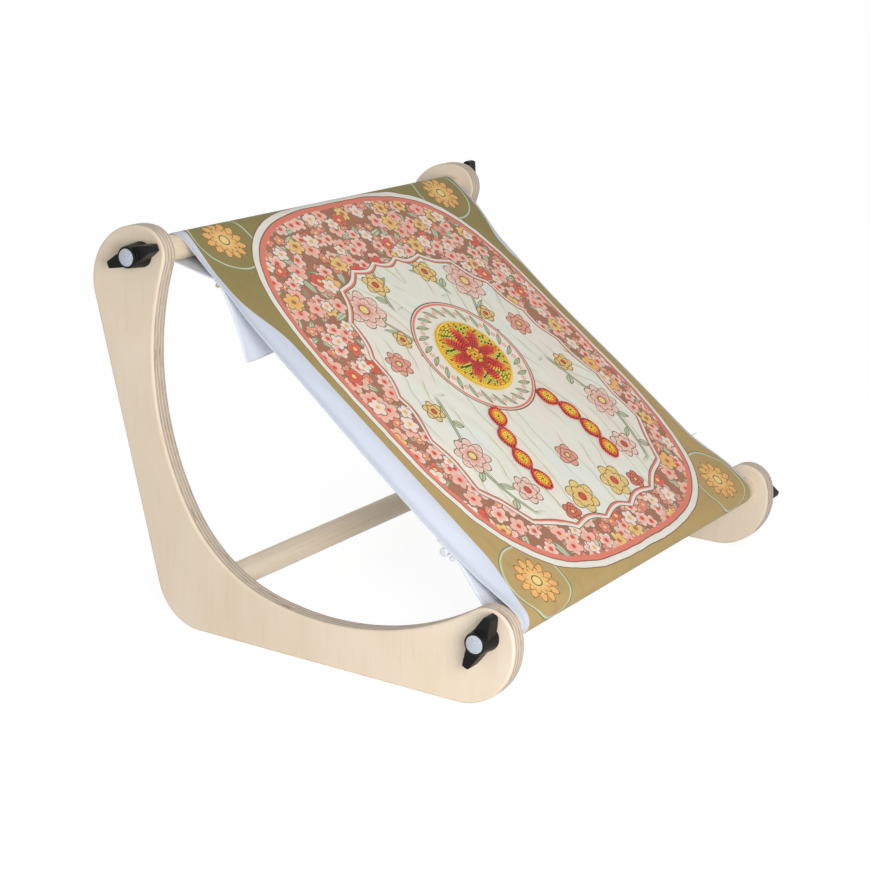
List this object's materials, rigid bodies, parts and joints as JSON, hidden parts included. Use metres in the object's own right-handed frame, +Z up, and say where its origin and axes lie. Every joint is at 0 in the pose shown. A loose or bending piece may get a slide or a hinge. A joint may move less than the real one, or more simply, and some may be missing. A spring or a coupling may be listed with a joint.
{
  "type": "embroidery table stand",
  "caption": "Tabletop stand that holds embroidery cloth at a slope between two turning rollers, clamped by wing knobs in boomerang-shaped plywood cheeks.",
  "frame": {"origin": "on the table, at the middle of the stand", "axes": "+X along the rollers, from the left cheek to the right one; +Y from the low front edge to the high back edge; +Z up"},
  "size_m": [0.4014, 0.309, 0.253],
  "materials": {
    "plywood": "sanded birch plywood, unfinished",
    "dowel": "sanded beech dowel",
    "stud_steel": "zinc plated",
    "knob_plastic": "satin moulded",
    "insert_brass": "machined",
    "cap_plastic": "smooth",
    "cloth": "printed woven fabric",
    "pin_steel": "polished wire",
    "green_head": "pearl",
    "white_head": "pearl"
  },
  "bodies": {
    "stand": {"left_cheek": "plywood", "right_cheek": "plywood", "crossbar": "dowel", "cloth": "cloth", "top_pin_shafts": "pin_steel", "top_pin_heads": "green_head", "front_pin_shafts": "pin_steel", "front_pin_heads": "white_head"},
    "top_roller": {"top_roller": "dowel", "top_left_stud": "stud_steel", "top_right_stud": "stud_steel"},
    "front_roller": {"front_roller": "dowel", "front_left_stud": "stud_steel", "front_right_stud": "stud_steel"},
    "top_left_insert": {"top_left_insert": "insert_brass"},
    "top_left_knob": {"top_left_knob": "knob_plastic", "top_left_cap": "cap_plastic"},
    "top_right_insert": {"top_right_insert": "insert_brass"},
    "top_right_knob": {"top_right_knob": "knob_plastic", "top_right_cap": "cap_plastic"},
    "front_left_insert": {"front_left_insert": "insert_brass"},
    "front_left_knob": {"front_left_knob": "knob_plastic", "front_left_cap": "cap_plastic"},
    "front_right_insert": {"front_right_insert": "insert_brass"},
    "front_right_knob": {"front_right_knob": "knob_plastic", "front_right_cap": "cap_plastic"}
  },
  "joints": [
    {"name": "top_roller_turn", "type": "hinge", "parent": "stand", "child": "top_roller", "pos_m": [0, 0.11472, 0.23331], "axis": [1, 0, 0], "continuous": true},
    {"name": "front_roller_turn", "type": "hinge", "parent": "stand", "child": "front_roller", "pos_m": [0, -0.13646, 0.04488], "axis": [1, 0, 0], "continuous": true},
    {"name": "top_left_knob_travel", "type": "slide", "parent": "top_roller", "child": "top_left_insert", "axis": [-1, 0, 0], "range_m": [0, 0.002]},
    {"name": "top_left_knob_turn", "type": "hinge", "parent": "top_left_insert", "child": "top_left_knob", "pos_m": [-0.185, 0.11472, 0.23331], "axis": [-1, 0, 0], "range_deg": [0, 720]},
    {"name": "top_right_knob_travel", "type": "slide", "parent": "top_roller", "child": "top_right_insert", "axis": [1, 0, 0], "range_m": [0, 0.002]},
    {"name": "top_right_knob_turn", "type": "hinge", "parent": "top_right_insert", "child": "top_right_knob", "pos_m": [0.185, 0.11472, 0.23331], "axis": [1, 0, 0], "range_deg": [0, 720]},
    {"name": "front_left_knob_travel", "type": "slide", "parent": "front_roller", "child": "front_left_insert", "axis": [-1, 0, 0], "range_m": [0, 0.002]},
    {"name": "front_left_knob_turn", "type": "hinge", "parent": "front_left_insert", "child": "front_left_knob", "pos_m": [-0.185, -0.13646, 0.04488], "axis": [-1, 0, 0], "range_deg": [0, 720]},
    {"name": "front_right_knob_travel", "type": "slide", "parent": "front_roller", "child": "front_right_insert", "axis": [1, 0, 0], "range_m": [0, 0.002]},
    {"name": "front_right_knob_turn", "type": "hinge", "parent": "front_right_insert", "child": "front_right_knob", "pos_m": [0.185, -0.13646, 0.04488], "axis": [1, 0, 0], "range_deg": [0, 720]}
  ],
  "couplings": [
    {"joint": "top_left_knob_travel", "follows": "top_left_knob_turn", "m_per_rad": 0.00015915},
    {"joint": "top_right_knob_travel", "follows": "top_right_knob_turn", "m_per_rad": 0.00015915},
    {"joint": "front_left_knob_travel", "follows": "front_left_knob_turn", "m_per_rad": 0.00015915},
    {"joint": "front_right_knob_travel", "follows": "front_right_knob_turn", "m_per_rad": 0.00015915}
  ]
}
